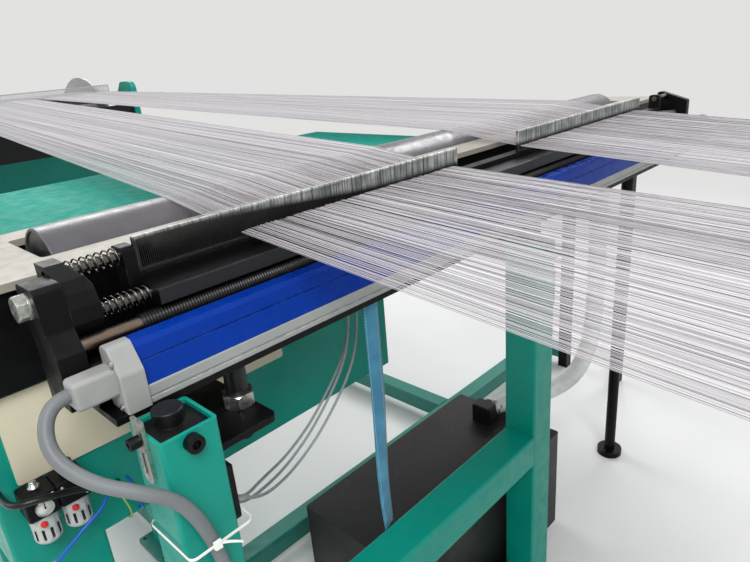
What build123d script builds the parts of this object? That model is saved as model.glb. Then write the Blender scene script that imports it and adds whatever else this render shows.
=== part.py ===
from build123d import *
import os
from math import atan, cos, pi, radians, sin, tan

# A textile warping machine. X runs along the reeds, from the near end (-X) to the far end (+X),
# Y runs with the yarn, from the creel side (-Y) to the beam (+Y), and Z is up from the floor.
# While modelling, the origin is on the floor under the reeds. The files are moved along Y to put
# it in the middle of the machine's footprint.

os.makedirs("parts", exist_ok=True)

# Clearances
RUNNING = 0.05     # radial, a shaft or rod in its bore
FREE = 0.3         # between a moving piece and what it passes
LAID = 0.2         # yarn and trim to what carries them
ROLLED = 0.4       # yarn to the turning guide roller

# Levels above the floor
beam_z = 1000.0          # underside of the light bar, top of the reed beam's base plate
table_z = 1152.0         # top of the table plate
yarn_z = 1150.0          # yarn in the reeds
feed_z = 1071.0          # yarn in the feed clamp
rear_z = 1300.0          # yarn in the rear reed

# Green stand
post_size = 80.0
post_wall = 5.0
stand_y = -148.0         # centre line of the posts
left_post_x = -1006.0
middle_post_x = -148.0
rail_top_z = 512.0
floor_rail_z = 40.0      # underside of the floor rails
floor_rail_size = 60.0
foot_size = 150.0
foot_narrow = 100.0      # depth of the stand's foot plates, in front of the floor box
foot_thick = 12.0

# Reed beam with its base plate
base_plate_thick = 10.0
base_plate_front = -107.0
beam_front = -62.0
beam_back = 40.0
beam_high = 60.0
beam_wall = 4.0
beam_x0 = -1058.0
beam_x1 = 1090.0

# Jacks that hold the reed beam on the stand
jack_offset_x = 134.0    # from a post's centre line
jack_y = -80.0
jack_plate_top = 920.0
jack_plate_thick = 10.0
jack_plate_x = 92.0      # reach of the plate from the post
jack_plate_y0 = -150.0
jack_plate_y1 = 20.0
jack_flange_high = 90.0
jack_screw_r = 12.0
jack_screw_low = 862.0
nut_across = 44.0
nut_high = 22.0
sleeve_r = 17.0
plug_high = 14.0         # how far a post's plug stands up past the post
leg_x = 532.0
leg_r = 17.0

# Light bar
bar_x0 = -1011.0
bar_x1 = 1153.0
bar_front = -108.0
bar_back = -66.0
bar_base_high = 26.0
bar_cover_high = 57.0
bar_face_lean = 18.0     # how far the blue face leans back
cap_thick = 24.0
cap_proud = 3.0          # how far a cap stands out past the bar's section
cap_box = 59.0
cap_box_high = 38.0
cap_box_front = -100.0
cap_box_back = -67.0
cap_box_z = beam_z + 24.0
cap_screw_places = ((-98.0, 1068.0), (-100.0, 1008.0))
cable_r = 9.0

# Reed carriage and its end brackets
bracket_x0 = -1058.0
bracket_wide = 24.0
bracket_lug = 14.0       # how far the left bracket's lower end stands out past its top
bracket_front = -62.0
bracket_foot_front = -32.0
bracket_top_back = 1178.0
bracket_top_front = 1150.0
pivot_plate_thick = 34.0
pivot_depth = 10.0       # wall left in front of the shaft's end in the pivot plate
pivot_y = -18.0
pivot_z = 1144.0
pivot_r = 10.0
rod_r = 8.0
upper_rod = (12.0, 1164.0)
lower_rod = (-24.0, 1112.0)
spring_r = 12.0          # to the middle of the wire
spring_wire = 1.3
carriage_x0 = -962.0
slab_x0 = -946.0
carriage_x1 = 960.0
end_block = 30.0
carrier_end = 18.0       # width of the carrier's end posts, beside the reed
carrier_post_top = 1177.0
travel = 5.0             # sideways travel of the carriage, each way
slab_y0 = -55.0
slab_y1 = -7.0
slab_z0 = 1100.0
slab_z1 = 1124.0
carrier_y0 = -5.0
carrier_y1 = 30.0
carrier_z0 = 1110.0
carrier_z1 = 1136.0
carrier_round = 9.0

# Reeds
reed_y = 0.0
reed_thick = 6.0
reed_top_z = 1188.0
reed_rail = 5.0
reed_foot = 6.0
left_reed_x0 = -944.0
right_reed_x0 = 40.0
dent_pitch = 8.0
dent_wide = 1.6
left_dents = 92
right_dents = 92

# Spreader under the slab
spreader_y = -46.0
spreader_z = 1083.0
spreader_r = 10.0
sleeve_outer_r = 14.0
sleeve_x0 = -976.0
sleeve_x1 = 1000.0
sleeve_rib_pitch = 24.0
sleeve_rib_deep = 1.2

# Table and guide roller
table_x0 = -1180.0
table_x1 = 1150.0
table_front = 76.0
table_back = 376.0
table_thick = 12.0
slot_x0 = -1015.0
slot_x1 = 1000.0
slot_front = 155.0
slot_back = 313.0
roller_x0 = -995.0
roller_x1 = 980.0
roller_y = 234.0
roller_r = 70.0
roller_top = 1180.0
roller_wall = 6.0
roller_shaft_r = 15.0
bearing_wide = 28.0
bearing_half = 35.0
front_beam_y0 = 84.0
front_beam_y1 = 150.0
rear_beam_y0 = 318.0

# Cabinet
cabinet_x0 = -1180.0
cabinet_x1 = -360.0
cover_x1 = 120.0         # far end of the upper cabinet
cabinet_front = 100.0
cabinet_back = 830.0
cabinet_low = 703.0
cabinet_wall = 3.0
panel_x0 = -1145.0
panel_x1 = -660.0
panel_z0 = 852.0
panel_z1 = 992.0
panel_thick = 3.0
leg_size = 80.0
cabinet_leg_places = ((-1090.0, 140.0), (-1090.0, 790.0), (-700.0, 790.0), (-700.0, 460.0))
bed_leg_size = 40.0
bed_leg_x = 1008.0

# Air unit
air_x = -1122.0
air_pitch = 34.0
air_y = 66.0
air_z = 828.0
bowl_r = 14.0
bowl_high = 46.0
knob_r = 11.0
knob_high = 20.0

# Rear frames, rear reed and beam
rear_x0 = -628.0         # yarn width on the beam
rear_x1 = 200.0
frame_gap = 70.0         # from a flange to its frame
frame_thick = 30.0
rear_y0 = 2500.0
rear_y1 = 3400.0
rear_reed_y = 2560.0
beam_y = 2960.0
barrel_r = 90.0
yarn_r = 300.0
flange_r = 380.0
flange_thick = 20.0
shaft_r = 25.0
beam_axis_z = rear_z - yarn_r
motor_r = 90.0
motor_long = 240.0

# Warp sheets
end_wide = 1.4
left_ends = 24
right_ends = 30
end_gaps = 3             # gaps of a front reed from one end to the next
left_rear = (0, 2.5)     # first gap of the rear reed, and gaps from one end to the next
right_rear = (59, 1.65)
left_first_gap = 21      # gap of the left reed that holds the first end
right_first_gap = 1
left_feed_x0 = -778.0
left_feed_x1 = -102.0
right_feed_x0 = 89.0
right_feed_x1 = 816.0
feed_y = -1000.0

# Feed stand
feed_post_x = (-880.0, 900.0)
feed_bar_wide = 40.0
feed_bar_high = 24.0
feed_gap = 3.0

# Floor box, hose, strap and tie
box_x0 = -550.0
box_x1 = 120.0
box_y0 = -94.0
box_y1 = 256.0
box_high = 320.0
hose_r = 25.0
strap_x = -594.0
strap_y = -92.0
strap_wide = 36.0
strap_thick = 3.0
strap_long = 498.0
tie_z = 815.0
cable_front = -209.0     # front of the cable where the tie holds it to the post
tie_wide = 4.0
tie_thick = 1.5

parts = {}


def block(x0, x1, y0, y1, z0, z1):
    """A box between two corners."""
    size = Box(x1 - x0, y1 - y0, z1 - z0)
    return Pos((x0 + x1) / 2, (y0 + y1) / 2, (z0 + z1) / 2) * size


def rod_x(x0, x1, y, z, r):
    """A round bar along X."""
    return Pos((x0 + x1) / 2, y, z) * Rot(0, 90, 0) * Cylinder(r, x1 - x0)


def rod_z(x, y, z0, z1, r):
    """A round bar along Z."""
    return Pos(x, y, (z0 + z1) / 2) * Cylinder(r, z1 - z0)


def section_x(points, x0, x1):
    """A solid with a section drawn in Y and Z, drawn out along X."""
    face = make_face(Polyline(*[(x0, y, z) for y, z in points], close=True))
    return extrude(face, amount=x1 - x0, dir=(1, 0, 0))


def tube_z(x, y, z0, z1, size, wall, round_r=6.0):
    """An upright square tube with rounded corners, open at both ends."""
    outer = extrude(RectangleRounded(size, size, round_r), amount=z1 - z0)
    inner = extrude(RectangleRounded(size - 2 * wall, size - 2 * wall, round_r - wall + 1), amount=z1 - z0)
    return Pos(x, y, z0) * (outer - inner)


def tube_x(x0, x1, y0, y1, z0, z1, wall, round_r=6.0):
    """A level rectangular tube along X, open at both ends."""
    wide, high = y1 - y0, z1 - z0
    plane = Plane(origin=(x0, (y0 + y1) / 2, (z0 + z1) / 2), x_dir=(0, 1, 0), z_dir=(1, 0, 0))
    outer = plane * RectangleRounded(wide, high, round_r)
    inner = plane * RectangleRounded(wide - 2 * wall, high - 2 * wall, max(round_r - wall, 1.0))
    return extrude(outer - inner, amount=x1 - x0)


def tube_y(x0, x1, y0, y1, z0, z1, wall, round_r=6.0):
    """A level rectangular tube along Y, open at both ends."""
    wide, high = x1 - x0, z1 - z0
    plane = Plane(origin=((x0 + x1) / 2, y0, (z0 + z1) / 2), x_dir=(1, 0, 0), z_dir=(0, 1, 0))
    outer = plane * RectangleRounded(wide, high, round_r)
    inner = plane * RectangleRounded(wide - 2 * wall, high - 2 * wall, max(round_r - wall, 1.0))
    return extrude(outer - inner, amount=y1 - y0)


def hex_z(x, y, z0, high, across, bore=0.0):
    """A hexagon nut or head with a vertical axis."""
    body = extrude(RegularPolygon(across / 2, 6, major_radius=False), amount=high)
    crown = Pos(0, 0, high / 2) * Cylinder(across * 0.565, high)
    crown = chamfer(crown.edges(), across * 0.05)
    body = body & crown
    if bore:
        body = body - Pos(0, 0, high / 2) * Cylinder(bore, high)
    return Pos(x, y, z0) * body


def hex_x(x0, y, z, high, across, bore=0.0):
    """A hexagon head with its axis along X, starting at x0."""
    return Pos(x0, y, z) * Rot(0, 90, 0) * hex_z(0, 0, 0, high, across, bore)


def keep(name, *solids):
    """Files one node: one solid, or a group of separate solids."""
    found = []
    for item in solids:
        found += item.solids() if hasattr(item, "solids") else [item]
    parts[name] = found[0] if len(found) == 1 else Compound(children=found)


def make_stand():
    """Two posts, the rail between them, and the foot plates."""
    half = post_size / 2
    y0, y1 = stand_y - half, stand_y + half
    for name, x in (("stand_post_left", left_post_x), ("stand_post_middle", middle_post_x)):
        keep(name, tube_z(x, stand_y, foot_thick, beam_z - base_plate_thick, post_size, post_wall))
    low = rail_top_z - post_size
    keep("stand_rail", tube_x(left_post_x + half, middle_post_x - half, y0, y1, low, rail_top_z, post_wall))
    places = [(left_post_x, stand_y, foot_narrow), (middle_post_x, stand_y, foot_narrow)]
    places += [(x, feed_y, foot_size) for x in feed_post_x]
    places += [(x, y, foot_size) for x, y in cabinet_leg_places]
    plates = []
    for x, y, deep in places:
        plate = extrude(RectangleRounded(foot_size, deep, 10), amount=foot_thick)
        for dx, dy in ((1, 1), (1, -1), (-1, 1), (-1, -1)):
            hole = Pos(dx * 58, dy * (deep / 2 - 14), foot_thick / 2) * Cylinder(6, foot_thick)
            plate = plate - hole
        plates.append(Pos(x, y, 0) * plate)
    keep("foot_plates", *plates)


def make_jacks():
    """Angle brackets on the posts, with a threaded spindle, two nuts and a sleeve each."""
    brackets, screws, nuts, sleeves = [], [], [], []
    plate_low = jack_plate_top - jack_plate_thick
    for post_x in (left_post_x, middle_post_x):
        x0 = post_x + post_size / 2
        x = post_x + jack_offset_x
        flange = block(x0, x0 + 8, stand_y - 36, stand_y + 36, plate_low - jack_flange_high, plate_low)
        plate = block(x0, x0 + jack_plate_x + 20, jack_plate_y0, jack_plate_y1, plate_low, jack_plate_top)
        corners = plate.edges().filter_by(Axis.Z).sort_by(Axis.X)[-2:]
        plate = fillet(corners, 12)
        bracket = plate + fillet(flange.edges().filter_by(Axis.X).sort_by(Axis.Z)[:2], 10)
        bracket = bracket - rod_z(x, jack_y, plate_low, jack_plate_top, jack_screw_r + RUNNING)
        brackets.append(bracket)
        screws.append(rod_z(x, jack_y, jack_screw_low, beam_z - base_plate_thick, jack_screw_r))
        for z in (jack_plate_top, plate_low - nut_high):
            nuts.append(hex_z(x, jack_y, z, nut_high, nut_across, jack_screw_r + RUNNING))
        top = beam_z - base_plate_thick
        sleeve = rod_z(x, jack_y, jack_plate_top + nut_high, top, sleeve_r)
        sleeves.append(sleeve - rod_z(x, jack_y, jack_plate_top, top, jack_screw_r + RUNNING))
    keep("jack_brackets", *brackets)
    keep("jack_screws", *screws)
    keep("jack_nuts", *nuts)
    for post_x in (left_post_x, middle_post_x):
        inner = post_size / 2 - post_wall
        top = beam_z - base_plate_thick
        plug = block(post_x - inner, post_x + inner, stand_y - inner, stand_y + inner, top - 24, top - 6)
        plug = fillet(plug.edges().filter_by(Axis.Z), 6)
        boss = rod_z(post_x, stand_y + 10, top - 6, top + plug_high, 20)
        sleeves.append(plug + fillet(boss.edges().sort_by(Axis.Z)[-1], 2))
    keep("jack_sleeves", *sleeves)


def make_reed_beam():
    """The box beam that carries the carriage, its base plate, and the black leg at the far end."""
    plate = block(beam_x0, beam_x1, base_plate_front, beam_back, beam_z - base_plate_thick, beam_z)
    box = tube_x(beam_x0, beam_x1, beam_front, beam_back, beam_z, beam_z + beam_high, beam_wall)
    keep("reed_beam", plate + box)


def bar_section(grow=0.0):
    """Outline of the light bar in Y and Z: silver base below, leaning blue face above."""
    front, back = bar_front - grow, bar_back + grow
    split = beam_z + bar_base_high
    top = split + bar_cover_high + grow
    return front, back, split, top


def make_light_bar():
    """Yarn-break light bar: silver base channel, blue cover, grey caps, screws and hanger."""
    front, back, split, top = bar_section()
    base = section_x(
        [(front, beam_z), (back, beam_z), (back, split), (front, split)],
        bar_x0,
        bar_x1,
    )
    base = fillet(base.edges().filter_by(Axis.X).sort_by(Axis.Y)[:2], 2.0)
    groove = block(bar_x0, bar_x1, front, front + 1.5, beam_z + 8, beam_z + 11)
    keep("light_bar_base", base - groove)
    cover = section_x(
        [
            (front + 2, split),
            (back, split),
            (back, top),
            (front + bar_face_lean + 4, top - 2),
            (front + bar_face_lean - 2, top - 8),
        ],
        bar_x0,
        bar_x1,
    )
    line = block(bar_x0, bar_x1, front + 6, front + 12.5, top - 27, top - 25)
    keep("light_bar_cover", cover - line)

    front, back, split, top = bar_section(cap_proud)
    caps = []
    for x0, x1 in ((bar_x0 - cap_thick, bar_x0), (bar_x1, bar_x1 + cap_thick)):
        cap = section_x(
            [
                (front, beam_z),
                (back - cap_proud, beam_z),
                (back - cap_proud, top),
                (front + 22, top),
                (front, split + 26),
            ],
            x0,
            x1,
        )
        long_edges = cap.edges().filter_by(Axis.X).sort_by(Axis.Z)
        cap = fillet(long_edges[-3:], 9)
        cap = fillet(cap.edges().filter_by(Axis.X).sort_by(Axis.Z)[:1], 3)
        outer = cap.faces().sort_by(Axis.X)[0 if x0 < 0 else -1]
        caps.append(fillet(outer.edges(), 2.5))
    box = block(
        bar_x0 - cap_thick - cap_box,
        bar_x0 - cap_thick,
        cap_box_front,
        cap_box_back,
        cap_box_z,
        cap_box_z + cap_box_high,
    )
    box = fillet(box.edges().filter_by(Axis.X) + box.edges().sort_by(Axis.X)[:4], 6)
    keep("light_bar_cap_left", caps[0] + box)
    keep("light_bar_cap_right", caps[1])

    screws = []
    x0 = bar_x0 - cap_thick - 3
    for y, z in cap_screw_places:
        head = rod_x(x0, x0 + 3, y, z, 4.5)
        screws.append(head - rod_x(x0, x0 + 1.5, y, z, 2.0))
    for y, z in cap_screw_places:
        x0 = bar_x1 + cap_thick
        head = rod_x(x0, x0 + 3, y, z, 4.5)
        screws.append(head - rod_x(x0 + 1.5, x0 + 3, y, z, 2.0))
    keep("cap_screws", *screws)

    x1 = left_post_x - post_size / 2
    strap = block(x1 - 5, x1, stand_y - 12, stand_y + 14, 922, 1012)
    strap = fillet(strap.edges().filter_by(Axis.X).sort_by(Axis.Z)[:2], 11)
    slot = Pos(x1 - 2.5, stand_y + 1, 950) * Rot(0, 90, 0) * extrude(SlotOverall(34, 7), amount=5, both=True)
    keep("bar_hanger", strap - slot)
    heads = [rod_x(x1 - 5 - 14, x1 - 5, stand_y + 1, 984, 8)]
    heads[0] = heads[0] - hex_x(x1 - 5 - 14, stand_y + 1, 984, 6, 8)
    for post_x in (left_post_x, middle_post_x):
        cap = Pos(post_x, stand_y - post_size / 2 - 6, 975) * Rot(90, 0, 0) * Cylinder(12, 12)
        socket = Pos(post_x, stand_y - post_size / 2 - 9, 975) * Rot(90, 0, 0) * Cylinder(6, 6)
        heads.append(cap - socket)
    keep("black_screws", *heads)


def left_bracket():
    """Left end bracket: a sloping arm whose lower end is thicker, on a foot behind the shaft."""
    top = beam_z + beam_high
    arm = section_x(
        [
            (bracket_foot_front, top),
            (beam_back, top),
            (beam_back, bracket_top_back),
            (6, bracket_top_back),
            (-27, 1163),
            (-40, 1149),
            (-48, 1131),
            (-48, 1111),
            (-41, 1099),
            (bracket_foot_front, 1095),
        ],
        bracket_x0,
        bracket_x0 + bracket_wide + bracket_lug,
    )
    narrow = bracket_x0 + bracket_wide
    wide = narrow + bracket_lug
    spare = Polyline(
        (narrow, beam_back + 1), (narrow, -2), (wide, -36), (wide + 1, -36), (wide + 1, beam_back + 1), close=True
    )
    return arm - Pos(0, 0, top - 1) * extrude(make_face(spare), amount=200)


def bracket_outline():
    """Side view of the far end bracket: wide foot, sloping top."""
    return [
        (bracket_front, beam_z + beam_high),
        (beam_back, beam_z + beam_high),
        (beam_back, bracket_top_back),
        (beam_back - 16, bracket_top_back),
        (bracket_front, bracket_top_front),
    ]


def make_brackets():
    """End brackets with the guide rods, pivot plate, hex bolt and springs."""
    brackets, rods = [], []
    right_x0 = beam_x1 - 22 - bracket_wide
    right = section_x(bracket_outline(), right_x0, right_x0 + bracket_wide)
    right = fillet(right.edges().filter_by(Axis.X).sort_by(Axis.Z)[-3:], 8)
    for x0, bracket in ((bracket_x0, left_bracket()), (right_x0, right)):
        x1 = x0 + bracket_wide + bracket_lug + 1
        for y, z in (upper_rod, lower_rod):
            bracket = bracket - rod_x(x0, x1, y, z, rod_r + RUNNING)
        brackets.append(bracket - rod_x(x0, x1, spreader_y, spreader_z, spreader_r + RUNNING))
    keep("end_brackets", *brackets)
    for y, z in (upper_rod, lower_rod):
        rods.append(rod_x(bracket_x0 + 4, slab_x0 + end_block - 4 - travel, y, z, rod_r))
        rods.append(rod_x(carriage_x1 - end_block + 4 + travel, right_x0 + bracket_wide - 4, y, z, rod_r))
    keep("guide_rods", *rods)

    x0 = bracket_x0 - pivot_plate_thick
    plate = section_x(
        [
            (bracket_front - 4, 1012),
            (0, 1012),
            (0, 1090),
            (14, 1120),
            (14, bracket_top_back - 10),
            (-44, bracket_top_back - 10),
            (-48, 1110),
            (bracket_front - 4, 1084),
        ],
        x0,
        bracket_x0,
    )
    plate = fillet(plate.edges().filter_by(Axis.X).sort_by(Axis.Z)[-4:], 10)
    keep("pivot_plate", plate - rod_x(x0 + pivot_depth, bracket_x0, spreader_y, spreader_z, spreader_r + RUNNING))
    washer = rod_x(x0 - 3, x0, pivot_y, pivot_z, 17)
    keep("pivot_bolt", washer + hex_x(x0 - 16, pivot_y, pivot_z, 13, 30))

    upper_x0 = bracket_x0 + bracket_wide + LAID
    springs = (
        ("upper_spring", upper_rod, upper_x0, carriage_x0, 7),
        ("lower_spring", lower_rod, upper_x0 + bracket_lug, slab_x0, 8),
    )
    for name, (y, z), gap0, end_x, turns in springs:
        long = end_x - LAID - gap0 - 2 * spring_wire
        coil = Helix(pitch=long / turns, height=long, radius=spring_r)
        start = Plane(origin=coil @ 0, z_dir=coil % 0)
        wire = sweep(start * Circle(spring_wire), path=coil)
        keep(name, Pos(gap0 + spring_wire, y, z) * Rot(0, 90, 0) * wire)


def reed(x0, count, z0, y, top):
    """One reed: a foot, a top rail and upright dents, made as one wall with gaps."""
    long = count * dent_pitch + dent_wide
    y0, y1 = y - reed_thick / 2, y + reed_thick / 2
    wall = block(x0, x0 + long, y0, y1, z0, top)
    gap = block(0, dent_pitch - dent_wide, y0, y1, z0 + reed_foot, top - reed_rail)
    gaps = [Pos(x0 + dent_wide + k * dent_pitch, 0, 0) * gap for k in range(count)]
    return wall - gaps


def make_carriage():
    """The sliding carriage: carrier, slab in front, and the two reeds on the carrier."""
    carrier = block(
        carriage_x0 + carrier_end, carriage_x1 - carrier_end, carrier_y0, carrier_y1, carrier_z0, carrier_z1
    )
    carrier = fillet(carrier.edges().filter_by(Axis.X).sort_by(Axis.Y)[-2:], carrier_round)
    for x0 in (carriage_x0, carriage_x1 - carrier_end):
        post = block(x0, x0 + carrier_end, carrier_y0, carrier_y1, carrier_z0, carrier_post_top)
        post = fillet(post.edges().filter_by(Axis.X).sort_by(Axis.Z)[-2:], 8)
        y, z = upper_rod
        carrier = carrier + (post - rod_x(x0, x0 + carrier_end, y, z, rod_r + RUNNING))
    keep("reed_carrier", carrier)
    slab = block(slab_x0, carriage_x1, slab_y0, slab_y1 + 2, slab_z0, slab_z1)
    slab = chamfer(slab.edges().filter_by(Axis.X).sort_by(Axis.Y)[:2], 2)
    for x0 in (slab_x0, carriage_x1 - end_block):
        slab = slab - rod_x(x0, x0 + end_block, lower_rod[0], lower_rod[1], rod_r + RUNNING)
    keep("carriage_slab", slab)
    keep("reed_left", reed(left_reed_x0, left_dents, carrier_z1, reed_y, reed_top_z))
    keep("reed_right", reed(right_reed_x0, right_dents, carrier_z1, reed_y, reed_top_z))


def make_spreader():
    """Bare shaft under the slab and the ribbed sleeve on it."""
    right = beam_x1 - 22
    shaft_x0 = bracket_x0 - pivot_plate_thick + pivot_depth + FREE
    keep("spreader_shaft", rod_x(shaft_x0, right - 4, spreader_y, spreader_z, spreader_r))
    count = int((sleeve_x1 - sleeve_x0) / sleeve_rib_pitch)
    low = sleeve_outer_r - sleeve_rib_deep
    points = [(sleeve_x0, spreader_r + RUNNING)]
    for k in range(count):
        x = sleeve_x0 + k * sleeve_rib_pitch
        points += [(x, sleeve_outer_r), (x + sleeve_rib_pitch * 0.6, sleeve_outer_r)]
        points += [(x + sleeve_rib_pitch * 0.7, low), (x + sleeve_rib_pitch * 0.95, low)]
    points += [(points[-1][0], spreader_r + RUNNING)]
    face = make_face(Polyline(*[(x, 0, r) for x, r in points], close=True))
    sleeve = revolve(face, axis=Axis.X)
    keep("spreader_sleeve", Pos(0, spreader_y, spreader_z) * sleeve)


def make_table():
    """Table plate with its slot, the guide roller and its bearings, and the beams under it."""
    under = table_z - table_thick
    plate = block(table_x0, table_x1, table_front, table_back, under, table_z)
    slot = block(slot_x0, slot_x1, slot_front, slot_back, under, table_z)
    slot = fillet(slot.edges().filter_by(Axis.Z), 8)
    keep("table_plate", plate - slot)

    axis_z = roller_top - roller_r
    shell = rod_x(roller_x0, roller_x1, roller_y, axis_z, roller_r)
    shell = shell - rod_x(roller_x0, roller_x1, roller_y, axis_z, roller_r - roller_wall)
    shell = chamfer(shell.edges().filter_by(GeomType.CIRCLE), 1.2)
    keep("roller_shell", shell)
    shaft_x0 = slot_x0 - 2 * bearing_wide
    shaft_x1 = slot_x1 + 2 * bearing_wide
    shaft = rod_x(shaft_x0, shaft_x1, roller_y, axis_z, roller_shaft_r)
    for x0 in (roller_x0 + 3, roller_x1 - 3 - 12):
        shaft = shaft + rod_x(x0, x0 + 12, roller_y, axis_z, roller_r - roller_wall - RUNNING)
    keep("roller_shaft", shaft)

    bearings = []
    for x0 in (slot_x0 - 1.5 * bearing_wide, slot_x1 + 0.5 * bearing_wide):
        x1 = x0 + bearing_wide
        housing = rod_x(x0, x1, roller_y, axis_z, bearing_half)
        foot = block(x0, x1, roller_y - 55, roller_y + 55, axis_z + 12, under)
        bearings.append(housing + foot - rod_x(x0, x1, roller_y, axis_z, roller_shaft_r + RUNNING))
    keep("roller_bearings", *[clip_above(b, under) for b in bearings])

    keep("bed_beam_front", block(table_x0 + 10, beam_x1 + 10, front_beam_y0, front_beam_y1, beam_z, under))
    rear = tube_x(table_x0 + 10, beam_x1 + 10, rear_beam_y0, table_back, beam_z, under, 5)
    keep("bed_beam_rear", rear)


def clip_above(solid, z):
    """Cuts away what stands above a level."""
    box = solid.bounding_box()
    keep_box = block(box.min.X - 1, box.max.X + 1, box.min.Y - 1, box.max.Y + 1, box.min.Z - 1, z)
    return solid & keep_box


def hollow_box(x0, x1, y0, y1, z0, z1, wall):
    """A closed sheet-metal housing with rounded upright edges."""
    outer = block(x0, x1, y0, y1, z0, z1)
    outer = fillet(outer.edges().filter_by(Axis.Z), 6)
    return outer - block(x0 + wall, x1 - wall, y0 + wall, y1 - wall, z0 + wall, z1 - wall)


def make_cabinet():
    """Green cabinet under and behind the table, its cream panel, legs and floor rails."""
    lower = hollow_box(
        cabinet_x0, cabinet_x1, cabinet_front, cabinet_back, cabinet_low, beam_z, cabinet_wall
    )
    keep("cabinet_lower", lower)
    upper = hollow_box(
        cabinet_x0, cover_x1, table_back, cabinet_back, beam_z, table_z - 2, cabinet_wall
    )
    keep("cabinet_upper", upper)
    panel = block(panel_x0, panel_x1, cabinet_front - panel_thick, cabinet_front, panel_z0, panel_z1)
    panel = fillet(panel.edges().filter_by(Axis.Y), 5)
    keep("cabinet_panel", panel)
    legs = [tube_z(x, y, foot_thick, cabinet_low, leg_size, post_wall) for x, y in cabinet_leg_places]
    keep("cabinet_legs", *legs)
    half = bed_leg_size / 2
    black = []
    for y in (front_beam_y0 + half, rear_beam_y0 + half):
        black.append(block(bed_leg_x - half, bed_leg_x + half, y - half, y + half, 0, beam_z))
    leg = rod_z(leg_x, jack_y, 20, beam_z - base_plate_thick, leg_r)
    disc = rod_z(leg_x, jack_y, 0, 20, 40)
    keep("black_legs", *black, leg + disc)

    half = leg_size / 2
    z0, z1 = floor_rail_z, floor_rail_z + floor_rail_size
    rails = []
    stand_back = stand_y + post_size / 2
    rails.append(tube_y(-1060, -1000, stand_back, cabinet_leg_places[0][1] - half, z0, z1, 4))
    rails.append(tube_x(left_post_x + half, middle_post_x - half, stand_y - 30, stand_y + 30, z0, z1, 4))
    rails.append(tube_y(-730, -670, cabinet_leg_places[2][1] + half, rear_y0, z0, z1, 4))
    rails.append(tube_x(cabinet_leg_places[3][0] + half, bed_leg_x - 20, 430, 490, z0, z1, 4))
    frame_x = rear_x1 + flange_thick + frame_gap + 30
    rails.append(tube_y(frame_x - 30, frame_x + 30, 490, rear_y0, z0, z1, 4))
    rails.append(tube_y(bed_leg_x - 20, bed_leg_x + 20, rear_beam_y0 + bed_leg_size, 490, z0, z1, 4))
    rails.append(tube_y(feed_post_x[0] - 30, feed_post_x[0] + 30, feed_y + half, stand_y - 30, z0, z1, 4))
    keep("base_rails", *rails)


def make_air_unit():
    """Filter and regulator on the cabinet's front, with two bowls and a knob."""
    bodies, bowls = [], []
    for k in range(2):
        x = air_x + k * air_pitch
        bodies.append(block(x - 16, x + 16, air_y - 16, air_y + 16, air_z, air_z + 30))
        bowl = rod_z(x, air_y, air_z - bowl_high, air_z, bowl_r)
        bowl = fillet(bowl.edges().sort_by(Axis.Z)[0], 6)
        bowls.append(bowl)
    back = block(air_x - 16, air_x + air_pitch + 16, air_y + 16, cabinet_front, air_z + 2, air_z + 22)
    bridge = block(air_x + 16, air_x + air_pitch - 16, air_y - 10, air_y + 10, air_z + 6, air_z + 24)
    keep("air_unit", bodies[0] + bodies[1] + back + bridge)
    keep("air_bowls", *bowls)
    knob = rod_z(air_x + air_pitch, air_y, air_z + 30 + FREE, air_z + 30 + knob_high, knob_r)
    knob = fillet(knob.edges().sort_by(Axis.Z)[-1], 2)
    keep("air_knob", knob)


def rear_gaps():
    """Gaps of the rear reed, a free one beside each end."""
    return 2 * (left_ends + right_ends)


def rear_pitch():
    """Pitch of the rear reed's gaps."""
    return (rear_x1 - rear_x0 - 12) / rear_gaps()


def rear_gap_x(k):
    """Middle of a gap of the rear reed."""
    return rear_x0 + 6 + (k + 0.5) * rear_pitch()


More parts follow.
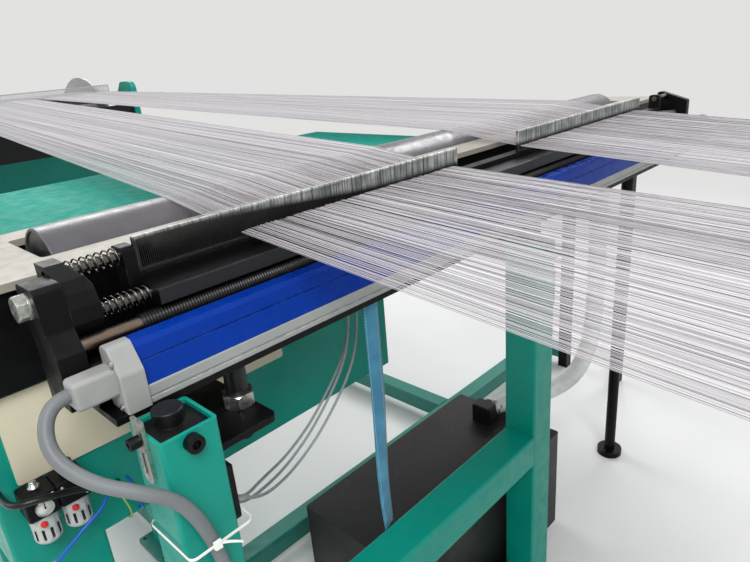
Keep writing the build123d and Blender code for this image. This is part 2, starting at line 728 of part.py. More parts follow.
def make_rear():
    """Side frames with the rear reed, the beam with its yarn, and the gear motor."""
    left_x1 = rear_x0 - flange_thick - frame_gap
    right_x0 = rear_x1 + flange_thick + frame_gap
    outline = [
        (rear_y0, 0),
        (rear_y1, 0),
        (rear_y1, 120),
        (beam_y + 110, beam_axis_z + 90),
        (beam_y - 110, beam_axis_z + 90),
        (rear_reed_y + 60, rear_z + 40),
        (rear_y0, rear_z + 40),
    ]
    frames, bearings = [], []
    for x0 in (left_x1 - frame_thick, right_x0):
        frame = section_x(outline, x0, x0 + frame_thick)
        frame = fillet(frame.edges().filter_by(Axis.X).sort_by(Axis.Z)[-4:], 40)
        hub = rod_x(x0, x0 + frame_thick, beam_y, beam_axis_z, shaft_r + RUNNING)
        frames.append(frame - hub)
    keep("rear_frames", *frames)
    for x0 in (left_x1 - frame_thick - 34, right_x0 - 34):
        housing = rod_x(x0, x0 + 34, beam_y, beam_axis_z, 60)
        housing = chamfer(housing.edges().sort_by(Axis.X)[0], 8)
        bearings.append(housing - rod_x(x0, x0 + 34, beam_y, beam_axis_z, shaft_r + RUNNING))
    keep("beam_bearings", *bearings)

    ties = [
        rod_x(left_x1, right_x0, rear_y1 - 80, 80, 22),
        rod_x(left_x1, right_x0, rear_y0 + 50, 700, 22),
        block(left_x1, right_x0, rear_reed_y - 20, rear_reed_y + 20, rear_z - 50, rear_z - 16),
    ]
    keep("rear_ties", *ties)
    y0, y1 = rear_reed_y - 3, rear_reed_y + 3
    wall = block(rear_x0 + 4, rear_x1 - 4, y0, y1, rear_z - 16, rear_z + 34)
    gap = block(0, rear_pitch() - dent_wide, y0, y1, rear_z - 10, rear_z + 29)
    firsts = [rear_gap_x(k) - (rear_pitch() - dent_wide) / 2 for k in range(rear_gaps())]
    keep("rear_reed", wall - [Pos(x, 0, 0) * gap for x in firsts])

    shaft = rod_x(left_x1 - frame_thick - 34, right_x0 + frame_thick, beam_y, beam_axis_z, shaft_r)
    barrel = rod_x(rear_x0, rear_x1, beam_y, beam_axis_z, barrel_r)
    keep("beam_shaft", shaft + barrel)
    flanges = []
    for x0 in (rear_x0 - flange_thick, rear_x1):
        flange = rod_x(x0, x0 + flange_thick, beam_y, beam_axis_z, flange_r)
        flange = fillet(flange.edges(), 6)
        for k in range(6):
            a = radians(60 * k + 30)
            y = beam_y + 200 * cos(a)
            z = beam_axis_z + 200 * sin(a)
            if x0 < rear_x0:
                flange = flange - rod_x(x0, x0 + 8, y, z, 45)
            else:
                flange = flange - rod_x(x0 + flange_thick - 8, x0 + flange_thick, y, z, 45)
        flanges.append(flange - rod_x(x0, x0 + flange_thick, beam_y, beam_axis_z, shaft_r))
    keep("beam_flanges", *flanges)
    yarn = rod_x(rear_x0, rear_x1, beam_y, beam_axis_z, yarn_r)
    keep("beam_yarn", yarn - rod_x(rear_x0, rear_x1, beam_y, beam_axis_z, barrel_r))

    x0 = right_x0 + frame_thick
    gear = block(x0 + FREE, x0 + 110, beam_y - 80, beam_y + 80, beam_axis_z - 80, beam_axis_z + 80)
    gear = fillet(gear.edges().filter_by(Axis.X), 14)
    motor = rod_x(x0 + 110, x0 + 110 + motor_long, beam_y, beam_axis_z, motor_r - 16)
    for k in range(9):
        x = x0 + 130 + k * 20
        motor = motor + rod_x(x, x + 6, beam_y, beam_axis_z, motor_r - 6)
    fan = rod_x(x0 + 110 + motor_long - 44, x0 + 110 + motor_long, beam_y, beam_axis_z, motor_r)
    box = block(x0 + 160, x0 + 240, beam_y - 40, beam_y + 40, beam_axis_z + 70, beam_axis_z + 120)
    keep("drive_motor", gear + motor + fan + box)


def strand(stations):
    """One warp end: a thin square strand through its stations, each x, y, z."""
    half = end_wide / 2
    wires = []
    for x, y, z in stations:
        corners = [(x - half, y, z - half), (x + half, y, z - half), (x + half, y, z + half)]
        corners.append((x - half, y, z + half))
        wires.append(Wire.make_polygon([Vector(*c) for c in corners], close=True))
    return Solid.make_loft(wires, ruled=True)


def over_roller(rise, lift):
    """Point above the guide roller where a straight run of the given slope touches it."""
    angle = atan(rise)
    reach = roller_r + lift
    return roller_y - reach * sin(angle), roller_top - roller_r + reach * cos(angle)


def sheet(count, feed_a, feed_b, reed_a, rear_first, rear_step):
    """A warp sheet: its ends from the clamp through the reed and the rear reed to the beam."""
    lift = end_wide / 2 + ROLLED
    low_y, low_z = over_roller((roller_top - yarn_z) / (roller_y - reed_y), lift)
    high_y, high_z = over_roller((rear_z - roller_top) / (rear_reed_y - roller_y), lift)
    top = rear_z + end_wide / 2 + LAID
    ends = []
    for k in range(count):
        share = k / (count - 1)
        x_feed = feed_a + share * (feed_b - feed_a)
        x_reed = reed_a + k * end_gaps * dent_pitch
        x_rear = rear_gap_x(rear_first + int(rear_step * k))
        stations = [
            (x_feed, feed_y - 15, feed_z),
            (x_feed, feed_y + 22, feed_z),
            (x_reed, reed_y - reed_thick, yarn_z),
            (x_reed, reed_y + reed_thick, yarn_z + 0.5),
            (x_reed, low_y, low_z),
            (x_reed, high_y, high_z),
            (x_rear, rear_reed_y - 6, top),
            (x_rear, beam_y, top),
        ]
        ends.append(strand(stations))
    return ends


def make_warp():
    """The two warp sheets."""
    mid = (dent_wide + dent_pitch) / 2
    left_a = left_reed_x0 + left_first_gap * dent_pitch + mid
    right_a = right_reed_x0 + right_first_gap * dent_pitch + mid
    keep("warp_left", *sheet(left_ends, left_feed_x0, left_feed_x1, left_a, *left_rear))
    keep("warp_right", *sheet(right_ends, right_feed_x0, right_feed_x1, right_a, *right_rear))


def make_feed_stand():
    """Plain stand with a two-bar clamp that ends the sheets on the creel side."""
    half = post_size / 2
    pieces = []
    low = feed_z - feed_gap / 2 - feed_bar_high
    for x in feed_post_x:
        pieces.append(tube_z(x, feed_y, foot_thick, low, post_size, post_wall))
    rail = tube_x(feed_post_x[0] + half, feed_post_x[1] - half, feed_y - 30, feed_y + 30, 420, 480, 4)
    x0, x1 = feed_post_x[0] - half, feed_post_x[1] + half
    y0, y1 = feed_y - feed_bar_wide / 2, feed_y + feed_bar_wide / 2
    lower = block(x0, x1, y0, y1, low, low + feed_bar_high)
    upper = block(x0, x1, y0, y1, feed_z + feed_gap / 2, feed_z + feed_gap / 2 + feed_bar_high)
    gap_z = low + feed_bar_high
    packers = [block(x - half, x + half, y0, y1, gap_z, gap_z + feed_gap) for x in feed_post_x]
    keep("feed_stand", *pieces, rail)
    keep("feed_clamp", lower + packers[0] + packers[1] + upper)


def make_floor_items():
    """Black floor box, white hose, blue strap and the cable tie."""
    box = hollow_box(box_x0, box_x1, box_y0, box_y1, 0, box_high, 2)
    keep("floor_box", box)
    route = [
        (60, 112, 345),
        (118, 92, 352),
        (215, 20, 352),
        (300, -50, 400),
        (336, -80, 520),
        (340, -86, 680),
        (336, -84, 840),
        (336, -84, 990),
    ]
    keep("suction_hose", cord_tube(route, hose_r))
    strap = block(
        strap_x - strap_wide / 2,
        strap_x + strap_wide / 2,
        strap_y - strap_thick / 2,
        strap_y + strap_thick / 2,
        beam_z - base_plate_thick - strap_long,
        beam_z - base_plate_thick,
    )
    keep("hanging_strap", strap)
    exit_x = bar_x0 - cap_thick - cap_box
    cable = [
        (exit_x, -80, 1043),
        (exit_x - 26, -80, 1043),
        (exit_x - 46, -106, 1000),
        (exit_x - 30, -150, 955),
        (exit_x + 10, -196, 920),
        (exit_x + 60, -200, 880),
        (left_post_x, -198, 820),
        (left_post_x + 12, -198, 700),
        (left_post_x + 8, -198, 520),
        (left_post_x + 10, -198, 330),
        (left_post_x + 20, -198, 230),
        (left_post_x + 70, -200, 140),
        (left_post_x + 240, -200, 128),
        (left_post_x + 330, -140, 128),
        (box_x0 - 60, -40, 150),
        (box_x0, -40, 150),
    ]
    keep("sensor_cable", cord_tube(cable, cable_r))
    half = post_size / 2 + LAID
    y0, y1 = cable_front, stand_y + half
    x0, x1 = left_post_x - half, left_post_x + half
    ring = block(x0 - tie_thick, x1 + tie_thick, y0 - tie_thick, y1 + tie_thick, tie_z, tie_z + tie_wide)
    ring = fillet(ring.edges().filter_by(Axis.Z), tie_thick)
    keep("cable_tie", ring - block(x0, x1, y0, y1, tie_z, tie_z + tie_wide))


def cord_tube(points, r):
    """A tube along straight runs joined by tangent arcs as large as the runs allow."""
    radii = []
    vectors = [Vector(*p) for p in points]
    for a, b, c in zip(vectors, vectors[1:], vectors[2:]):
        turn = max(radians((b - a).get_angle(c - b)), 0.001)
        radii.append(0.45 * min((b - a).length, (c - b).length) / tan(turn / 2))
    path = FilletPolyline(*points, radius=radii)
    start = Plane(origin=path @ 0, z_dir=path % 0)
    return sweep(start * Circle(r), path=path)


make_stand()
make_jacks()
make_reed_beam()
make_light_bar()
make_brackets()
make_carriage()
make_spreader()
make_table()
make_cabinet()
make_air_unit()
make_rear()
make_warp()
make_feed_stand()
make_floor_items()

footprint_front = feed_y - foot_size / 2
footprint_middle = (footprint_front + rear_y1) / 2
for name, shape in parts.items():
    export_step(Pos(0, -footprint_middle, 0) * shape, f"parts/{name}.step")
print(len(parts), "nodes")
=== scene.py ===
import random
from math import atan, cos, pi, sin

import bpy
from mathutils import Matrix, Vector


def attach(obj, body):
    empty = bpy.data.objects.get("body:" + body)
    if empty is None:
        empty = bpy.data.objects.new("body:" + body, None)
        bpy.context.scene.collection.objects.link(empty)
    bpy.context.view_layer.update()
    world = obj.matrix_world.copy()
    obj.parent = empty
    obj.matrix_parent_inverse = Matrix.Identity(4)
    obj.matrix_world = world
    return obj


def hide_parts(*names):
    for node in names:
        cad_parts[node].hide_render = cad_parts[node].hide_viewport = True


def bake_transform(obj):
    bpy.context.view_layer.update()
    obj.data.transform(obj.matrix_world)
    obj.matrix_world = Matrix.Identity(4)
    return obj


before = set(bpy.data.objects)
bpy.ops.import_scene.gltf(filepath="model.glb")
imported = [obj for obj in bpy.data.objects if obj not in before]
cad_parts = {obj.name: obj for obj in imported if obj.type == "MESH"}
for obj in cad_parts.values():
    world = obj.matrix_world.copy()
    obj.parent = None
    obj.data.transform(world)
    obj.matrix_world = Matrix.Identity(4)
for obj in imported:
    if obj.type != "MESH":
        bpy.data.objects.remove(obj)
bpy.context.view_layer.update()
SHIFT = 1162.5        # the row frame's origin lies this far behind the reeds, in mm


def P(x, y, z):
    """A point given in mm from the floor under the reeds, in the row frame."""
    return (x / 1000, (y - SHIFT) / 1000, z / 1000)


# Materials

def lin(r, g, b):
    """An sRGB colour from 0 to 255 as a linear one."""
    def one(c):
        c /= 255
        return c / 12.92 if c <= 0.04045 else ((c + 0.055) / 1.055) ** 2.4
    return (one(r), one(g), one(b), 1)


class Nodes:
    """Short calls for a material's nodes."""

    def __init__(self, name):
        self.mat = bpy.data.materials.new(name)
        self.mat.use_nodes = True
        self.tree = self.mat.node_tree
        self.bsdf = self.tree.nodes["Principled BSDF"]
        self.place = self.tree.nodes.new("ShaderNodeTexCoord").outputs["Object"]

    def add(self, kind, **values):
        node = self.tree.nodes.new(kind)
        for key, value in values.items():
            if hasattr(value, "is_output") or isinstance(value, bpy.types.NodeSocket):
                self.tree.links.new(value, node.inputs[key])
            elif key in node.inputs:
                node.inputs[key].default_value = value
            else:
                setattr(node, key, value)
        return node

    def link(self, a, b):
        self.tree.links.new(a, b)

    def noise(self, scale, detail=3.0, rough=0.55, stretch=None):
        where = self.place
        if stretch:
            where = self.add("ShaderNodeMapping", Vector=where, Scale=stretch).outputs[0]
        node = self.add("ShaderNodeTexNoise", Vector=where, Scale=scale, Detail=detail, Roughness=rough)
        return node.outputs[0]

    def ramp(self, value, low, high, a=0.0, b=1.0):
        node = self.add("ShaderNodeMapRange", Value=value)
        node.inputs["From Min"].default_value = low
        node.inputs["From Max"].default_value = high
        node.inputs["To Min"].default_value = a
        node.inputs["To Max"].default_value = b
        node.interpolation_type = "SMOOTHSTEP"
        return node.outputs[0]

    def mix(self, factor, a, b):
        node = self.tree.nodes.new("ShaderNodeMix")
        node.data_type = "RGBA"
        for socket, value in ((node.inputs[0], factor), (node.inputs[6], a), (node.inputs[7], b)):
            if isinstance(value, bpy.types.NodeSocket):
                self.link(value, socket)
            else:
                socket.default_value = value
        return node.outputs[2]

    def math(self, kind, a, b=0.0, c=0.0):
        node = self.tree.nodes.new("ShaderNodeMath")
        node.operation = kind
        for socket, value in zip(node.inputs, (a, b, c)):
            if isinstance(value, bpy.types.NodeSocket):
                self.link(value, socket)
            else:
                socket.default_value = value
        return node.outputs[0]

    def bump(self, height, depth, strength=1.0, round_edge=0.0):
        node = self.add("ShaderNodeBump", Height=height, Strength=strength, Distance=depth)
        if round_edge:
            edge = self.tree.nodes.new("ShaderNodeBevel")
            edge.samples = 4
            edge.inputs["Radius"].default_value = round_edge
            self.link(edge.outputs[0], node.inputs["Normal"])
        self.link(node.outputs[0], self.bsdf.inputs["Normal"])

    def edges(self, radius, low=0.02, high=0.25):
        """A mask that is 1 along sharp edges."""
        edge = self.tree.nodes.new("ShaderNodeBevel")
        edge.samples = 4
        edge.inputs["Radius"].default_value = radius
        flat = self.tree.nodes.new("ShaderNodeNewGeometry").outputs["Normal"]
        dot = self.add("ShaderNodeVectorMath", operation="DOT_PRODUCT")
        self.link(edge.outputs[0], dot.inputs[0])
        self.link(flat, dot.inputs[1])
        return self.ramp(self.math("SUBTRACT", 1.0, dot.outputs["Value"]), low, high)


def dark(c, k):
    return (c[0] * k, c[1] * k, c[2] * k, 1)


def paint(name, colour, rough, dust, dust_colour, worn, wear, gloss=0.5):
    """Sprayed paint: faint orange peel, uneven gloss, dust in broad patches and worn edges."""
    n = Nodes(name)
    n.bsdf.inputs["Specular IOR Level"].default_value = gloss
    broad = n.noise(2.3, 4)
    fine = n.noise(34, 5, 0.62)
    base = n.mix(n.ramp(broad, 0.32, 0.7), dark(colour, 0.9), dark(colour, 1.08))
    base = n.mix(n.ramp(n.math("MULTIPLY", broad, fine), 0.2, 0.46, 0, dust), base, dust_colour)
    mask = n.math("MULTIPLY", n.edges(0.0022), n.ramp(n.noise(90, 4), 0.42, 0.62, 0, wear))
    base = n.mix(mask, base, worn)
    n.link(base, n.bsdf.inputs["Base Color"])
    n.link(n.ramp(fine, 0.3, 0.75, rough - 0.06, rough + 0.16), n.bsdf.inputs["Roughness"])
    n.bump(n.noise(700, 2), 0.00012, 0.6, 0.0015)
    return n.mat


def metal(name, colour, rough, grain, stain):
    """Bare metal with machining grain, uneven roughness and light staining."""
    n = Nodes(name)
    n.bsdf.inputs["Metallic"].default_value = 1.0
    lines = n.noise(60, 3, 0.6, grain)
    blot = n.noise(14, 4)
    base = n.mix(n.ramp(lines, 0.3, 0.7), dark(colour, 0.82), dark(colour, 1.06))
    base = n.mix(n.ramp(blot, 0.52, 0.75, 0, stain), base, dark(colour, 0.4))
    n.link(base, n.bsdf.inputs["Base Color"])
    n.link(n.ramp(lines, 0.25, 0.75, rough - 0.07, rough + 0.14), n.bsdf.inputs["Roughness"])
    n.bump(lines, 0.00006, 0.5, 0.0008)
    return n.mat


def plastic(name, colour, rough, dust, grain=900):
    """Moulded plastic with a fine grain and dust."""
    n = Nodes(name)
    n.bsdf.inputs["Specular IOR Level"].default_value = 0.35
    broad = n.noise(9, 4)
    base = n.mix(n.ramp(broad, 0.3, 0.72), dark(colour, 0.9), dark(colour, 1.1))
    base = n.mix(n.ramp(n.noise(48, 5, 0.7), 0.52, 0.8, 0, dust), base, lin(140, 138, 132))
    n.link(base, n.bsdf.inputs["Base Color"])
    n.link(n.ramp(broad, 0.25, 0.75, rough - 0.06, rough + 0.12), n.bsdf.inputs["Roughness"])
    n.bump(n.noise(grain, 2), 0.00008, 0.6, 0.001)
    return n.mat


def yarn_material(name, light, shade):
    """Spun yarn: twisted fibres, painted light and shade that change from yarn to yarn and from end to end, and
    soft fuzz.
    """
    n = Nodes(name)
    across = n.noise(260, 2, 0.5, (1, 0.004, 0.004))
    # Painted light and shade: each yarn is mixed between its lit and its shaded colour.
    base = n.mix(n.ramp(across, 0.35, 0.65), shade, light)
    twist = n.noise(900, 2, 0.5, (1, 0.6, 1))
    n.link(base, n.bsdf.inputs["Base Color"])
    n.bsdf.inputs["Roughness"].default_value = 0.75
    n.bsdf.inputs["Sheen Weight"].default_value = 0.3
    n.bump(twist, 0.0002, 0.6)
    return n.mat


def wound_material():
    """Yarn wound on the beam: fine bands side by side with faint colour changes."""
    n = Nodes("wound_yarn")
    bands = n.noise(420, 2, 0.5, (1, 0.01, 0.01))
    broad = n.noise(7, 3, 0.5, (1, 0.05, 0.05))
    base = n.mix(n.ramp(bands, 0.35, 0.65), lin(168, 164, 167), lin(208, 205, 206))
    base = n.mix(n.ramp(broad, 0.45, 0.7, 0, 0.35), base, lin(180, 175, 180))
    n.link(base, n.bsdf.inputs["Base Color"])
    n.bsdf.inputs["Roughness"].default_value = 0.8
    n.bsdf.inputs["Sheen Weight"].default_value = 0.25
    n.bump(bands, 0.0012, 0.8)
    return n.mat


def reed_material():
    """Reed wires: bright above and black in the lowest part, the black reaching higher towards the left end."""
    n = Nodes("reed_wire")
    z = n.add("ShaderNodeSeparateXYZ", Vector=n.place).outputs["Z"]
    x = n.add("ShaderNodeSeparateXYZ", Vector=n.place).outputs["X"]
    # Black below a level that rises towards the left end.
    level = n.math("SUBTRACT", z, n.ramp(x, -0.9, -0.4, 0.03, 0.002))
    dark_band = n.ramp(level, 1.15, 1.164)
    blot = n.ramp(n.noise(30, 3), 0.35, 0.7)
    bright = n.mix(blot, lin(178, 182, 180), lin(218, 220, 217))
    streak = n.ramp(n.noise(170, 2, 0.5, (1, 0.01, 0.02)), 0.44, 0.62)
    bright = n.mix(n.math("MULTIPLY", streak, 0.7), bright, lin(60, 60, 62))
    n.link(n.mix(dark_band, lin(11, 11, 13), bright), n.bsdf.inputs["Base Color"])
    n.link(n.math("MULTIPLY", dark_band, 0.7), n.bsdf.inputs["Metallic"])
    n.link(n.ramp(blot, 0, 1, 0.28, 0.42), n.bsdf.inputs["Roughness"])
    n.bump(n.noise(400, 2), 0.00005, 0.5)
    return n.mat


def guard_material():
    """Sheet dark green below and black above, standing in for the dark place behind the yarn, whose cause is not
    known.
    """
    n = Nodes("guard_paint")
    n.bsdf.inputs["Specular IOR Level"].default_value = 0.3
    z = n.add("ShaderNodeSeparateXYZ", Vector=n.place).outputs["Z"]
    cloud = n.ramp(n.noise(3, 4), 0.3, 0.7)
    green = n.mix(cloud, lin(0, 88, 78), lin(8, 104, 92))
    black = n.mix(cloud, lin(9, 9, 10), lin(20, 20, 20))
    n.link(n.mix(n.ramp(z, 1.02, 1.022), green, black), n.bsdf.inputs["Base Color"])
    n.link(n.ramp(n.noise(30, 4), 0.3, 0.7, 0.36, 0.55), n.bsdf.inputs["Roughness"])
    n.bump(n.noise(700, 2), 0.0001, 0.5)
    return n.mat


def ribbon_material():
    """Woven ribbon with ribs across, lighter selvedges and a stitch line."""
    n = Nodes("ribbon")
    parts = n.add("ShaderNodeSeparateXYZ", Vector=n.place)
    ribs = n.math("SINE", n.math("MULTIPLY", parts.outputs["Z"], 2 * pi / 0.0016))
    side = n.math("ABSOLUTE", n.math("ADD", parts.outputs["X"], 0.594))
    seam = n.math("MULTIPLY", n.ramp(side, 0.0135, 0.0142), n.ramp(side, 0.0152, 0.0159, 1, 0))
    dash = n.ramp(n.math("SINE", n.math("MULTIPLY", parts.outputs["Z"], 2 * pi / 0.006)), -0.3, 0.1)
    cloud = n.noise(22, 4)
    base = n.mix(n.ramp(cloud, 0.3, 0.7), lin(40, 116, 150), lin(62, 142, 174))
    base = n.mix(n.math("MULTIPLY", seam, dash), base, lin(150, 190, 200))
    n.link(base, n.bsdf.inputs["Base Color"])
    n.bsdf.inputs["Roughness"].default_value = 0.8
    n.bsdf.inputs["Sheen Weight"].default_value = 0.2
    n.bump(n.math("ADD", ribs, n.math("MULTIPLY", seam, 3)), 0.00015, 0.7)
    return n.mat


def hose_material():
    """White smooth hose, slightly cloudy, with grey handling marks."""
    n = Nodes("hose_white")
    cloud = n.noise(16, 4)
    base = n.mix(n.ramp(cloud, 0.35, 0.72), lin(222, 222, 218), lin(196, 197, 194))
    base = n.mix(n.ramp(n.noise(60, 5, 0.7), 0.55, 0.8, 0, 0.35), base, lin(140, 140, 136))
    n.link(base, n.bsdf.inputs["Base Color"])
    n.bsdf.inputs["Roughness"].default_value = 0.42
    n.bump(n.noise(200, 3), 0.0002, 0.5)
    return n.mat


GREEN = paint("green_paint", lin(0, 138, 121), 0.36, 0.06, lin(40, 120, 108), lin(120, 170, 160), 0.35, 0.3)
GREEN_MATT = paint("green_paint_top", lin(0, 132, 116), 0.6, 0.1, lin(30, 116, 104), lin(110, 165, 155), 0.35, 0.1)
GREEN_DUSTY = paint("green_paint_dusty", lin(0, 116, 103), 0.42, 0.25, lin(120, 135, 122), lin(150, 185, 175), 0.6)
BLACK = paint("black_paint", lin(8, 8, 9), 0.38, 0.05, lin(40, 38, 36), lin(96, 94, 90), 0.35, 0.14)
GREY_PAINT = paint("grey_paint", lin(112, 118, 120), 0.4, 0.2, lin(90, 88, 82), lin(190, 190, 188), 0.5)
CREAM = paint("cream_paint", lin(212, 204, 178), 0.42, 0.2, lin(170, 160, 134), lin(120, 112, 96), 0.4)
TABLE = paint("table_paint", lin(150, 145, 134), 0.4, 0.35, lin(120, 114, 102), lin(92, 88, 80), 0.3, 0.25)
BLUE = paint("blue_anodised", lin(0, 47, 140), 0.26, 0.02, lin(10, 60, 150), lin(80, 120, 190), 0.3, 0.16)
SILVER = paint("silver_anodised", lin(150, 153, 150), 0.36, 0.12, lin(120, 120, 116), lin(215, 216, 214), 0.7)
BRIGHT = metal("bright_steel", lin(196, 198, 198), 0.24, (14, 1, 14), 0.25)
ZINC = metal("zinc_plate", lin(190, 192, 186), 0.32, (3, 3, 3), 0.35)
SPRING = metal("spring_steel", lin(112, 108, 104), 0.26, (6, 6, 6), 0.4)
END_STEEL = metal("end_steel", lin(120, 120, 122), 0.4, (3, 3, 3), 0.2)
DARK_STEEL = metal("dark_steel", lin(92, 90, 92), 0.36, (1, 30, 30), 0.3)
ROLLER = paint("roller_steel", lin(84, 82, 86), 0.3, 0.2, lin(104, 102, 104), lin(150, 150, 150), 0.5)
SLAB = metal("slab_steel", lin(58, 58, 61), 0.36, (1, 40, 40), 0.3)
BROWN_STEEL = metal("oiled_shaft", lin(128, 112, 100), 0.3, (1, 40, 40), 0.4)
OXIDE = metal("black_oxide", lin(44, 44, 46), 0.42, (6, 6, 6), 0.3)
GREY_PLASTIC = plastic("grey_plastic", lin(150, 151, 148), 0.42, 0.15)
BLACK_PLASTIC = plastic("black_plastic", lin(11, 11, 12), 0.34, 0.06)
BOX_PLASTIC = plastic("box_plastic", lin(22, 19, 19), 0.42, 0.06, 300)
CABLE_GREY = plastic("cable_grey", lin(112, 116, 118), 0.5, 0.2, 500)
TIE_WHITE = plastic("tie_white", lin(232, 232, 226), 0.4, 0.05)
BOWL = plastic("bowl_grey", lin(178, 182, 178), 0.25, 0.1)
RED = plastic("red_plastic", lin(206, 30, 26), 0.35, 0.02)
LEAD_GREY = plastic("lead_grey", lin(146, 150, 152), 0.45, 0.15)
TUBE_BLUE = plastic("tube_blue", lin(12, 84, 178), 0.25, 0.02)
TUBE_GREEN = plastic("wire_green", lin(150, 176, 60), 0.4, 0.05)
DIAL = plastic("dial_white", lin(226, 226, 220), 0.4, 0.04)
GUARD = guard_material()
# Lit, mid and shaded copies of one yarn: painted light and shade from strand to strand.
YARNS = [
    yarn_material("yarn_painted_lit", lin(214, 211, 212), lin(188, 184, 187)),
    yarn_material("yarn_mid", lin(184, 179, 182), lin(152, 147, 151)),
    yarn_material("yarn_painted_shade", lin(134, 129, 133), lin(100, 95, 99)),
]
WOUND = wound_material()
REED = reed_material()
RIBBON = ribbon_material()
HOSE = hose_material()

LOOKS = {
    GREEN: "stand_post_left stand_post_middle stand_rail cabinet_lower cabinet_legs rear_frames",
    GREEN_MATT: "cabinet_upper",
    GREEN_DUSTY: "foot_plates base_rails feed_stand",
    BLACK: "jack_brackets reed_beam end_brackets pivot_plate reed_carrier bed_beam_front bed_beam_rear "
           "black_legs roller_bearings air_unit",
    GREY_PAINT: "drive_motor beam_bearings",
    CREAM: "cabinet_panel",
    TABLE: "table_plate",
    BLUE: "light_bar_cover",
    SILVER: "light_bar_base beam_flanges",
    BRIGHT: "cap_screws beam_shaft reed_left reed_right rear_reed",
    SPRING: "guide_rods upper_spring lower_spring",
    END_STEEL: "roller_shaft",
    ZINC: "pivot_bolt bar_hanger jack_nuts",
    DARK_STEEL: "feed_clamp rear_ties",
    ROLLER: "roller_shell",
    SLAB: "carriage_slab",
    BROWN_STEEL: "spreader_shaft",
    OXIDE: "black_screws jack_screws",
    GREY_PLASTIC: "light_bar_cap_left light_bar_cap_right",
    BLACK_PLASTIC: "spreader_sleeve jack_sleeves air_knob",
    BOX_PLASTIC: "floor_box",
    CABLE_GREY: "sensor_cable",
    TIE_WHITE: "cable_tie",
    BOWL: "air_bowls",
    YARNS[1]: "warp_left warp_right",
    WOUND: "beam_yarn",
    RIBBON: "hanging_strap",
    HOSE: "suction_hose",
}
for look, names in LOOKS.items():
    for name in names.split():
        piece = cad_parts[name]
        piece.data.materials.clear()
        piece.data.materials.append(look)


# Mesh helpers

class Shape:
    """Points and faces in mm, kept until they make one piece."""

    def __init__(self):
        self.points, self.faces, self.tags = [], [], []

    def box(self, x0, x1, y0, y1, z0, z1, tag=0):
        k = len(self.points)
        for x in (x0, x1):
            for y in (y0, y1):
                for z in (z0, z1):
                    self.points.append(P(x, y, z))
        for face in ((0, 1, 3, 2), (4, 6, 7, 5), (0, 4, 5, 1), (2, 3, 7, 6), (0, 2, 6, 4), (1, 5, 7, 3)):
            self.faces.append([k + i for i in face])
            self.tags.append(tag)

    def rings(self, rings, closed_ends=True, loop=False, tag=0):
        """A skin over rings of points that are all in mm and of one length."""
        k, n = len(self.points), len(rings[0])
        for ring in rings:
            self.points += [P(*p) for p in ring]
        count = len(rings)
        for r in range(count if loop else count - 1):
            a, b = k + r * n, k + ((r + 1) % count) * n
            for i in range(n):
                j = (i + 1) % n
                self.faces.append([a + i, a + j, b + j, b + i])
                self.tags.append(tag)
        if closed_ends and not loop:
            self.faces.append([k + i for i in reversed(range(n))])
            self.faces.append([k + (count - 1) * n + i for i in range(n)])
            self.tags += [tag, tag]

    def piece(self, name, materials, body, smooth=False, replaces=(), slot=None):
        mesh = bpy.data.meshes.new(name)
        mesh.from_pydata(self.points, [], self.faces)
        mesh.validate()
        obj = bpy.data.objects.new(name, mesh)
        bpy.context.scene.collection.objects.link(obj)
        for m in materials:
            mesh.materials.append(m)
        mesh.polygons.foreach_set("material_index", self.tags[:len(mesh.polygons)])
        mesh.polygons.foreach_set("use_smooth", [smooth] * len(mesh.polygons))
        mesh.update()
        if body:
            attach(obj, body)
        if replaces:
            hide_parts(*replaces)
        return obj


def ring_yz(x, y, z, r, n):
    """A ring of n points round the X axis."""
    return [(x, y + r * cos(2 * pi * i / n), z + r * sin(2 * pi * i / n)) for i in range(n)]


# Reeds

REED_LENGTH, REED_WIRES = 737.6, 245


def fine_reed(name, x0):
    """A reed with closely set flat wires, a top rail and a foot, in place of the plain one."""
    shape = Shape()
    x1 = x0 + REED_LENGTH
    for z0, z1, half in ((1136, 1142, 3.2), (1183, 1188, 3.2)):
        section = [(-half, z0 + 1), (-half + 1, z0), (half - 1, z0), (half, z0 + 1)]
        section += [(half, z1 - 1), (half - 1, z1), (-half + 1, z1), (-half, z1 - 1)]
        shape.rings([[(x, y, z) for y, z in section] for x in (x0, x1)])
    shape.box(x0, x0 + 5, -3, 3, 1140, 1185)
    shape.box(x1 - 5, x1, -3, 3, 1140, 1185)
    for k in range(REED_WIRES):
        x = x0 + 6 + (x1 - x0 - 12) * k / (REED_WIRES - 1)
        shape.rings([
            [(x - 0.45, -2.6, z), (x, -2.9, z), (x + 0.45, -2.6, z),
             (x + 0.45, 2.6, z), (x, 2.9, z), (x - 0.45, 2.6, z)] for z in (1141, 1184)
        ])
    return shape.piece(name + "_wires", [REED], "reed_carriage", False, [name])


fine_reed("reed_left", -944)
fine_reed("reed_right", 40)


# Warp sheets

ROLLER_Y, ROLLER_Z, ROLLER_R = 234, 1110, 70
rng = random.Random(7)


def over_roller(rise, lift):
    """Where a yarn with this rise touches the guide roller, as (y, z)."""
    angle = atan(rise)
    reach = ROLLER_R + lift
    return ROLLER_Y - reach * sin(angle), ROLLER_Z + reach * cos(angle)


def thread(shape, stations, r, tag):
    """One yarn through its stations, with a square section turned on its corner."""
    rings = []
    for x, y, z in stations:
        rings.append([(x - r, y, z), (x, y, z - r), (x + r, y, z), (x, y, z + r)])
    shape.rings(rings, tag=tag)


